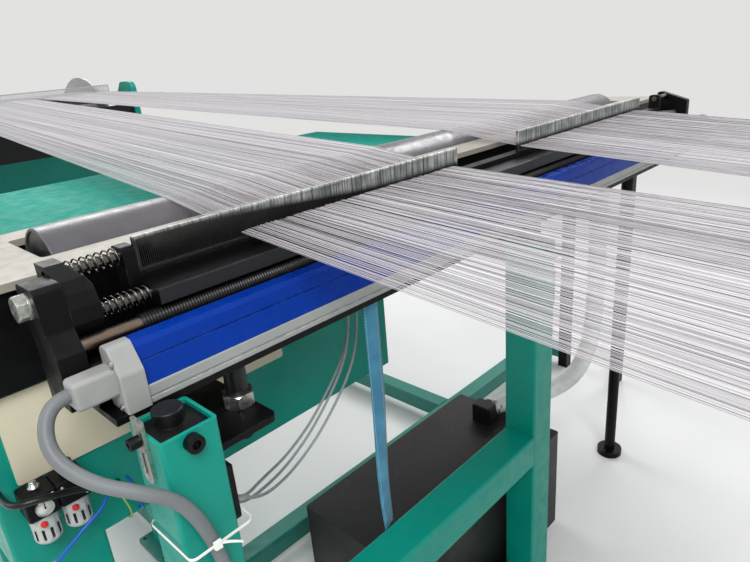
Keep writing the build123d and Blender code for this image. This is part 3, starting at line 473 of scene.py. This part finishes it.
def warp_sheet(name, count, feed, reed, rear):
    """The yarns of one sheet, in a front and a rear piece that meet in the reed."""
    front, back = Shape(), Shape()
    lift = 0.95
    low = over_roller(30 / 234, lift)
    high = over_roller(120 / 2326, lift)
    for k in range(count):
        share = k / (count - 1)
        x_feed = feed[0] + share * (feed[1] - feed[0]) + rng.uniform(-0.9, 0.9)
        x_reed = reed[0] + share * (reed[1] - reed[0]) + rng.uniform(-0.3, 0.3)
        x_rear = rear[0] + share * (rear[1] - rear[0]) + rng.uniform(-0.3, 0.3)
        z = 1150 + rng.uniform(-1.5, 1.5)
        r = rng.uniform(0.36, 0.5)
        # Each yarn takes one of the lit, mid and shaded copies: painted light and shade.
        tag = rng.choices((0, 1, 2), (5, 6, 3))[0]
        thread(front, [(x_feed, -1015, 1071), (x_feed, -978, 1071), (x_reed, -1, z)], r, tag)
        thread(back, [(x_reed, -1, z), (x_reed, low[0], low[1]), (x_reed, high[0], high[1]),
                      (x_rear, 2554, 1301), (x_rear, 2960, 1301)], r * 0.8, tag)
    a = front.piece(name + "_front", YARNS, None, False, [name])
    b = back.piece(name + "_back", YARNS, None, False, [name])
    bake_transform(a)
    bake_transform(b)


warp_sheet("warp_left", 390, (-778, -102), (-771, -218), (-618, -188))
warp_sheet("warp_right", 400, (89, 816), (52, 750), (-172, 183))


# Light bar's left cap, and the springs

def copied(node, name, look):
    """A new piece with a copy of a node's mesh, in the node's stead."""
    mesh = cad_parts[node].data.copy()
    obj = bpy.data.objects.new(name, mesh)
    bpy.context.scene.collection.objects.link(obj)
    mesh.materials.clear()
    mesh.materials.append(look)
    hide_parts(node)
    return obj


def stretched(node, name, look, low, high, by):
    """A copy of a node in which all that lies between two places along X is moved."""
    obj = copied(node, name, look)
    for vertex in obj.data.vertices:
        if low < vertex.co.x < high:
            vertex.co.x += by
    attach(obj, "frame")


def springs():
    """The springs between the left bracket and the carriage, copied as coils in their stead."""
    for node in ("upper_spring", "lower_spring"):
        coil = copied(node, node.replace("_spring", "_coil"), SPRING)
        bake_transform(coil)


springs()


CAP_GROWTH = -0.008     # the photographed cap is this much deeper than the CAD one, along X
stretched("light_bar_cap_left", "end_cap", GREY_PLASTIC, -1.0365, -1.026, CAP_GROWTH)
stretched("cap_screws", "end_cap_screws", BRIGHT, -1.2, -1.0, CAP_GROWTH)


# Spreader sleeve with its spiral

SLEEVE_Y, SLEEVE_Z, SLEEVE_BORE = -46, 1083, 10.3


def spiral_sleeve():
    """The black sleeve of the spreader shaft, with a spiral rib of 4.5 mm pitch."""
    shape, rings = Shape(), []
    n, x0, x1, step = 12, -976.0, 990.8, 0.9
    count = int((x1 - x0) / step)
    rings.append(ring_yz(x0, SLEEVE_Y, SLEEVE_Z, SLEEVE_BORE, n))
    for k in range(count + 1):
        x = x0 + (x1 - x0) * k / count
        ring = []
        for i in range(n):
            a = 2 * pi * i / n
            wave = sin(2 * pi * x / 4.5 + a)
            r = 12.9 + 1.0 * max(-1.0, min(1.0, 1.6 * wave))
            ring.append((x, SLEEVE_Y + r * cos(a), SLEEVE_Z + r * sin(a)))
        rings.append(ring)
    rings.append(ring_yz(x1, SLEEVE_Y, SLEEVE_Z, SLEEVE_BORE, n))
    shape.rings(rings)
    shape.piece("spreader_spiral", [BLACK_PLASTIC], "frame", True, ["spreader_sleeve"], "black_plastic")


spiral_sleeve()


# Jack screws with their threads

def threaded(shape, x, y, z0, z1, r, pitch):
    """An upright screw thread, 1.5 mm deep."""
    n, rings, step = 18, [], pitch / 5
    count = int((z1 - z0) / step)
    for k in range(count + 1):
        z = z0 + (z1 - z0) * k / count
        ring = []
        for i in range(n):
            a = 2 * pi * i / n
            wave = abs(((z / pitch - a / (2 * pi)) % 1.0) * 2 - 1)
            q = r - 1.5 * wave
            if k == 0 or k == count:
                q = r - 1.6
            ring.append((x + q * cos(a), y + q * sin(a), z))
        rings.append(ring)
    shape.rings(rings)


POSTS_X, JACK_OFFSET, JACK_Y = (-1006, -148), 134, -80
screws = Shape()
for post_x in POSTS_X:
    threaded(screws, post_x + JACK_OFFSET, JACK_Y, 862, 990, 12, 3)
screws.piece("jack_threads", [OXIDE], "frame", True, ["jack_screws"], "dark_steel")


# Strap, tie, cable and hose

STRAP_X, STRAP_Y, STRAP_TOP, STRAP_LENGTH = -594, -92, 990, 498


def ribbon():
    """The ribbon hangs from the beam, slightly bowed, and is turned a little at its end."""
    shape, rings = Shape(), []
    n = 60
    for k in range(n + 1):
        t = k / n
        z = STRAP_TOP - STRAP_LENGTH * t
        bow = 3.0 * sin(3.4 * t) * t
        swing = 5.0 * sin(2 * pi * t) * t
        turn = 0.28 * t * t
        ring = [(-18, 0.6), (-9, 0.75), (0, 0.8), (9, 0.75), (18, 0.6)]
        ring += [(s, -o) for s, o in reversed(ring)]
        x, y = STRAP_X + swing, STRAP_Y + bow
        rings.append([(x + s * cos(turn) - o * sin(turn), y + s * sin(turn) + o * cos(turn), z) for s, o in ring])
    shape.rings(rings)
    obj = shape.piece("strap_ribbon", [RIBBON], "frame", True, ["hanging_strap"], "blue_ribbon")


ribbon()


TIE_Z = 835


def tie():
    """A white cable tie, loose and aslant round the post, its jack bracket and the cable."""
    shape, rings = Shape(), []
    x0, x1, y0, y1, r = -1049.5, -956.6, -211.5, -104.5, 9.0
    corners = (
        (x1 - r, y1 - r, 0), (x0 + r, y1 - r, pi / 2),
        (x0 + r, y0 + r, pi), (x1 - r, y0 + r, 3 * pi / 2),
    )
    for cx, cy, start in corners:
        for k in range(7):
            a = start + k * pi / 12
            x, y = cx + r * cos(a), cy + r * sin(a)
            z = TIE_Z + 0.03 * (x - POSTS_X[0])
            dx, dy = 0.6 * cos(a), 0.6 * sin(a)
            rings.append([
                (x - dx, y - dy, z - 2), (x + dx, y + dy, z - 2),
                (x + dx, y + dy, z + 2), (x - dx, y - dy, z + 2),
            ])
    shape.rings(rings, False, True)
    head = [(-1018, -211), (-1017, -215), (-1008, -216), (-1007, -211)]
    shape.rings([[(x, y, z) for x, y in head] for z in (829, 831, 839, 841)])
    shape.rings([
        [(x, y, 834 - d), (x, y - 1.2, 834 - d), (x, y - 1.2, 838 - d), (x, y, 838 - d)]
        for x, y, d in ((-1008, -214, 0), (-1000, -219, 1), (-991, -223, 5), (-984, -224, 10))
    ])
    shape.piece("tie_band", [TIE_WHITE], "frame", False, ["cable_tie"], "white_hose")


tie()


def cord_curve(name, route, r, material, node):
    """A cord on its route in mm, of radius r in mm."""
    curve = bpy.data.curves.new(name, "CURVE")
    curve.dimensions = "3D"
    curve.bevel_depth = r / 1000
    curve.bevel_resolution = 5
    curve.use_fill_caps = True
    curve.resolution_u = 12
    spline = curve.splines.new("NURBS")
    spline.points.add(len(route) - 1)
    for point, place in zip(spline.points, route):
        point.co = (*P(*place), 1)
    spline.order_u = 3
    spline.use_endpoint_u = True
    curve.materials.append(material)
    obj = bpy.data.objects.new(name, curve)
    bpy.context.scene.collection.objects.link(obj)
    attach(obj, "frame")
    if node:
        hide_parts(node)


EXIT_X = -1094
CABLE = [
    (EXIT_X, -80, 1043), (EXIT_X - 26, -80, 1043), (EXIT_X - 46, -106, 1000), (EXIT_X - 24, -147, 964),
    (EXIT_X + 20, -190, 943), (EXIT_X + 58, -202, 911), (-1007, -199, 820), (-994, -198, 700),
    (-998, -198, 520), (-996, -198, 330), (-986, -198, 230), (-936, -200, 140), (-766, -200, 128),
    (-676, -140, 128), (-610, -40, 150), (-550, -40, 150),
]
HOSE_ROUTE = [
    (60, 112, 345), (118, 92, 352), (215, 20, 352), (300, -50, 400), (336, -80, 520),
    (340, -86, 680), (336, -84, 840), (336, -84, 990),
]


cord_curve("sensor_lead", CABLE, 9, CABLE_GREY, "sensor_cable")
cord_curve("air_hose", HOSE_ROUTE, 25, HOSE, "suction_hose")


# Grey leads, air tubes and a wire

LEAD = [
    (-540, 20, 990), (-540, 20, 968), (-546, 12, 900), (-566, 18, 815), (-655, 20, 722),
    (-745, 0, 694), (-830, -42, 716), (-900, -100, 768), (-942, -140, 824),
]


def leads():
    """Three leads that hang in a bundle from the beam to the left post."""
    for k, (dy, dz, length) in enumerate(((0, 0, 0.693), (8, 14, 0.688), (-6, -8, 0.723))):
        route = []
        for i, (x, y, z) in enumerate(LEAD):
            free = i > 0
            low = 2 < i < 7
            route.append((x + (k - 1) * (9 if free else 7), y + dy * free, z + dz * low))
        route.append((-966, -150 - 8 * (k - 1), 834))
        cord_curve(f"lead_{k}", route, 2.6, LEAD_GREY, None)


leads()
BLACK_TUBE = [
    (-1172, 100, 858), (-1172, 76, 859), (-1170, 34, 866), (-1140, 18, 868), (-1092, 22, 852),
    (-1050, 38, 822), (-1022, 66, 788), (-1014, 100, 776),
]
BLUE_TUBE = [
    (-1067, 66, 822), (-1052, 66, 820), (-1042, 54, 806), (-1058, 40, 790), (-1096, 34, 776),
    (-1138, 34, 750), (-1158, 58, 716), (-1162, 100, 706),
]
GREEN_WIRE = [
    (-1067, 78, 812), (-1050, 76, 808), (-1030, 68, 788), (-1018, 66, 754), (-1012, 72, 714),
    (-1012, 100, 704),
]
SHORT_TUBE = [(-998, 100, 776), (-998, 84, 772), (-995, 76, 742), (-990, 84, 714), (-990, 100, 708)]
cord_curve("air_tube_black", BLACK_TUBE, 5, BLACK_PLASTIC, None)
cord_curve("air_tube_blue", BLUE_TUBE, 2.5, TUBE_BLUE, None)
cord_curve("wire_green", GREEN_WIRE, 1.4, TUBE_GREEN, None)
cord_curve("air_tube_short", SHORT_TUBE, 2.5, TUBE_BLUE, None)


# Air unit details and the hose's socket

def turned(shape, start, way, profile, n=24, tag=0):
    """A round piece: start in mm, its axis, and (distance along, radius) pairs."""
    axis = Vector(way).normalized()
    side = axis.orthogonal().normalized()
    up = axis.cross(side)
    rings = []
    for along, r in profile:
        middle = Vector(start) + axis * along
        rings.append([
            tuple(middle + side * r * cos(2 * pi * i / n) + up * r * sin(2 * pi * i / n)) for i in range(n)
        ])
    shape.rings(rings, tag=tag)


def bowl(shape, x, y, top, r):
    """A filter bowl with a rounded foot and a row of dark slots let into its side."""
    n = 32
    levels = [
        (top, r - 1), (top - 1.5, r), (top - 20, r), (top - 38, r), (top - 44, r - 1), (top - 48, r - 5),
        (top - 50, r - 11),
    ]
    k = len(shape.points)
    for z, q in levels:
        for i in range(n):
            a = 2 * pi * i / n
            shape.points.append(P(x + q * cos(a), y + q * sin(a), z))
    for level in range(len(levels) - 1):
        for i in range(n):
            j = (i + 1) % n
            a, b = k + level * n, k + (level + 1) * n
            corners = [a + i, b + i, b + j, a + j]
            if level != 2 or i % 3:
                shape.faces.append(corners)
                shape.tags.append(0)
                continue
            inner = len(shape.points)
            for z in (levels[2][0], levels[3][0]):
                for m in (i, j):
                    turn = 2 * pi * m / n
                    shape.points.append(P(x + (r - 3) * cos(turn), y + (r - 3) * sin(turn), z))
            pocket = [inner, inner + 2, inner + 3, inner + 1]
            shape.faces.append(pocket)
            shape.tags.append(1)
            for m in range(4):
                shape.faces.append([corners[m], corners[(m + 1) % 4], pocket[(m + 1) % 4], pocket[m]])
                shape.tags.append(1)
    shape.faces.append([k + i for i in range(n)])
    shape.faces.append([k + (len(levels) - 1) * n + i for i in reversed(range(n))])
    shape.tags += [0, 0]


def bevelled_block(shape, x0, x1, y0, y1, z0, z1, c=2.0, tag=0):
    """A block with its upright edges and its rims cut back by c."""
    def level(z, inset):
        a, b, d, e = x0 + inset, x1 - inset, y0 + inset, y1 - inset
        return [(a + c, d, z), (b - c, d, z), (b, d + c, z), (b, e - c, z),
                (b - c, e, z), (a + c, e, z), (a, e - c, z), (a, d + c, z)]
    shape.rings([level(z0, c), level(z0 + c, 0), level(z1 - c, 0), level(z1, c)], tag=tag)


AIR_X = (-1133, -1089)
AIR_Y, AIR_HALF, AIR_LOW, AIR_TOP, BOWL_R = 66, 21.5, 818, 858, 19.5


def air_bodies():
    """The filter's and the regulator's body, bridged, on a strip on the cabinet's front."""
    shape = Shape()
    front, back = AIR_Y - AIR_HALF, AIR_Y + AIR_HALF
    for x in AIR_X:
        bevelled_block(shape, x - AIR_HALF, x + AIR_HALF, front, back, AIR_LOW, AIR_TOP)
    middle = (AIR_X[0] + AIR_X[1]) / 2
    shape.box(middle - 0.5, middle + 0.5, AIR_Y - 12, AIR_Y + 12, AIR_LOW + 6, AIR_TOP - 6)
    bevelled_block(shape, AIR_X[0] - 16, AIR_X[1] + 16, back, 100, AIR_LOW + 6, AIR_TOP - 10, 1.0)
    shape.piece("air_housings", [BLACK], "frame", False, ["air_unit"], "black_plastic")


air_bodies()


def air_details():
    """The bowls, the dial, buttons and fittings, and the socket that the hose leaves."""
    bowls = Shape()
    for x in AIR_X:
        bowl(bowls, x, AIR_Y, AIR_LOW, BOWL_R)
    bowls.piece("bowl_guards", [BOWL, BLACK_PLASTIC], "frame", True, ["air_bowls"], "clear_plastic")
    trim = Shape()
    for x in AIR_X:
        turned(trim, (x - 5, AIR_Y - BOWL_R + 1, 808), (-0.25, -1, 0), ((0, 5), (2, 5), (3.4, 4.2)), 16, 0)
    front = AIR_Y - AIR_HALF
    dial = (AIR_X[0] + 1, front, 837)
    turned(trim, dial, (0, -1, 0), ((0, 12.5), (6, 12.5), (7, 11.6), (5.2, 10.8)), 32, 1)
    turned(trim, dial, (0, -1, 0), ((5.1, 10.7), (5.3, 10.7)), 32, 2)
    trim.box(dial[0] - 0.7, dial[0] + 0.7, front - 5.8, front - 5.4, 837, 846, 3)
    turned(trim, dial, (0, -1, 0), ((5.3, 1.6), (6.2, 1.3)), 12, 3)
    for x, z in ((-1117, 851), (-1104, 850), (-1074, 826)):
        turned(trim, (x, front, z), (0, -1, 0), ((0, 2.6), (1.4, 2.6), (2.0, 1.8)), 12, 1)
    turned(trim, (AIR_X[1] + AIR_HALF, 66, 822), (1, 0, 0), ((0, 5), (7, 5), (8, 4)), 16, 1)
    turned(trim, (AIR_X[0], AIR_Y, AIR_TOP), (0, 0, 1), ((0, 8), (4, 8), (4.5, 5), (11, 5), (12, 4)), 18, 1)
    trim.piece("air_trim", [RED, ZINC, DIAL, BLACK_PLASTIC], "frame", True, (), "bright_steel")
    socket = Shape()
    outline = [(22, 86), (28, 80), (60, 80), (66, 86), (66, 138), (60, 144), (28, 144), (22, 138)]
    socket.rings([[(x, y, z) for x, y in outline] for z in (320, 372)]
                 + [[(x * 0.9 + 4.4, y * 0.9 + 11.2, 377) for x, y in outline]])
    way = (58, -20, 7)
    turned(socket, (66, 109.9, 345.7), way, ((0, 29), (3, 30), (9, 30), (11, 26.5)), 32, 0)
    turned(socket, (80, 105.1, 347.4), way, ((0, 25.2), (0.2, 26.6), (9, 26.6), (9.2, 25.2)), 32, 1)
    socket.box(84, 92, 74, 79, 352, 362, 1)
    socket.piece("hose_socket", [BLACK_PLASTIC, ZINC], "frame", False, (), "black_plastic")


air_details()


def guard_sheet():
    """A sheet with turned edges between the rear frames, under the yarn."""
    y0, y1, low, top, t, lip = 2516, 2536, 300, 1226, 4, 16
    outline = [(y0, low), (y0 + lip, low), (y0 + lip, low + t), (y0 + t, low + t),
               (y0 + t, top - t), (y1, top - t), (y1, top), (y0, top)]
    shape = Shape()
    shape.rings([[(x, y, z) for y, z in outline] for x in (-718, 290)])
    shape.piece("guard_panel", [GUARD], "frame", False, (), "green_paint")


guard_sheet()


# Stage, lights and camera

BACKDROP = lin(226, 226, 225)


def seen(tree):
    """1 for rays from the camera, in reflections and through glass, 0 for those that light things."""
    path = tree.nodes.new("ShaderNodeLightPath").outputs
    value = path["Is Camera Ray"]
    for kind in ("Is Glossy Ray", "Is Transmission Ray"):
        more = tree.nodes.new("ShaderNodeMath")
        more.operation = "MAXIMUM"
        tree.links.new(value, more.inputs[0])
        tree.links.new(path[kind], more.inputs[1])
        value = more.outputs[0]
    return value


def stage():
    """The pale floor, which turns into the backdrop further out."""
    mesh = bpy.data.meshes.new("floor")
    size = 30.0
    corners = [(-size, -size, 0), (size, -size, 0), (size, size, 0), (-size, size, 0)]
    mesh.from_pydata(corners, [], [(0, 1, 2, 3)])
    floor = bpy.data.objects.new("floor", mesh)
    bpy.context.scene.collection.objects.link(floor)
    n = Nodes("floor_pale")
    n.bsdf.inputs["Roughness"].default_value = 0.9
    n.bsdf.inputs["Specular IOR Level"].default_value = 0.1
    pale = n.mix(n.ramp(n.noise(0.8, 3), 0.3, 0.7), lin(222, 222, 220), lin(230, 230, 228))
    n.link(pale, n.bsdf.inputs["Base Color"])
    reach = n.add("ShaderNodeVectorMath", operation="LENGTH")
    n.link(n.place, reach.inputs[0])
    glow = n.add("ShaderNodeEmission", Color=BACKDROP)
    blend = n.tree.nodes.new("ShaderNodeMixShader")
    n.link(n.math("MULTIPLY", seen(n.tree), n.ramp(reach.outputs["Value"], 2.4, 5.5)), blend.inputs[0])
    n.link(n.bsdf.outputs[0], blend.inputs[1])
    n.link(glow.outputs[0], blend.inputs[2])
    n.link(blend.outputs[0], n.tree.nodes["Material Output"].inputs[0])
    mesh.materials.append(n.mat)


def lights():
    """A pale world and four soft lamps."""
    world = bpy.data.worlds.new("studio")
    bpy.context.scene.world = world
    world.use_nodes = True
    tree = world.node_tree
    back = tree.nodes["Background"]
    back.inputs["Color"].default_value = (0.93, 0.95, 1.0, 1)
    back.inputs["Strength"].default_value = 0.5
    view = tree.nodes.new("ShaderNodeBackground")
    view.inputs["Color"].default_value = BACKDROP
    mix = tree.nodes.new("ShaderNodeMixShader")
    tree.links.new(seen(tree), mix.inputs[0])
    tree.links.new(back.outputs[0], mix.inputs[1])
    tree.links.new(view.outputs[0], mix.inputs[2])
    tree.links.new(mix.outputs[0], tree.nodes["World Output"].inputs[0])
    for name, place, target, size, power in (
        ("key", (-2.6, -3.6, 4.4), (-0.3, -1.0, 1.0), 2.2, 210),
        ("fill", (-4.2, 1.4, 3.0), (-0.5, -1.0, 0.9), 3.0, 50),
        ("far", (3.4, -0.4, 4.2), (0.0, -0.6, 1.0), 2.2, 130),
        ("rear", (1.0, 4.6, 4.4), (0.0, 1.4, 1.0), 2.6, 130),
    ):
        light = bpy.data.lights.new(name, "AREA")
        light.energy = power
        light.size = size
        obj = bpy.data.objects.new(name, light)
        bpy.context.scene.collection.objects.link(obj)
        obj.location = place
        obj.rotation_euler = (Vector(target) - Vector(place)).to_track_quat("-Z", "Y").to_euler()


FOCAL, WIDTH, SENSOR = 610, 750, 36     # in pixels, in pixels, and in mm
CAMERA_PLACE = (-1280, -800, 1400)


def camera():
    """The photograph's place and direction."""
    data = bpy.data.cameras.new("camera")
    data.sensor_width = SENSOR
    data.lens = FOCAL / WIDTH * SENSOR
    data.clip_start = 0.02
    data.clip_end = 100
    obj = bpy.data.objects.new("camera", data)
    bpy.context.scene.collection.objects.link(obj)
    right = Vector((0.6859, -0.7235, -0.0786)).normalized()
    back = Vector((-0.6589, -0.6632, 0.3551)).normalized()
    up = back.cross(right).normalized()
    right = up.cross(back).normalized()
    turn = Matrix((right, up, back)).transposed()
    obj.matrix_world = Matrix.Translation(P(*CAMERA_PLACE)) @ turn.to_4x4()
    bpy.context.scene.camera = obj


stage()
lights()
camera()
bpy.context.scene.view_settings.view_transform = "Standard"
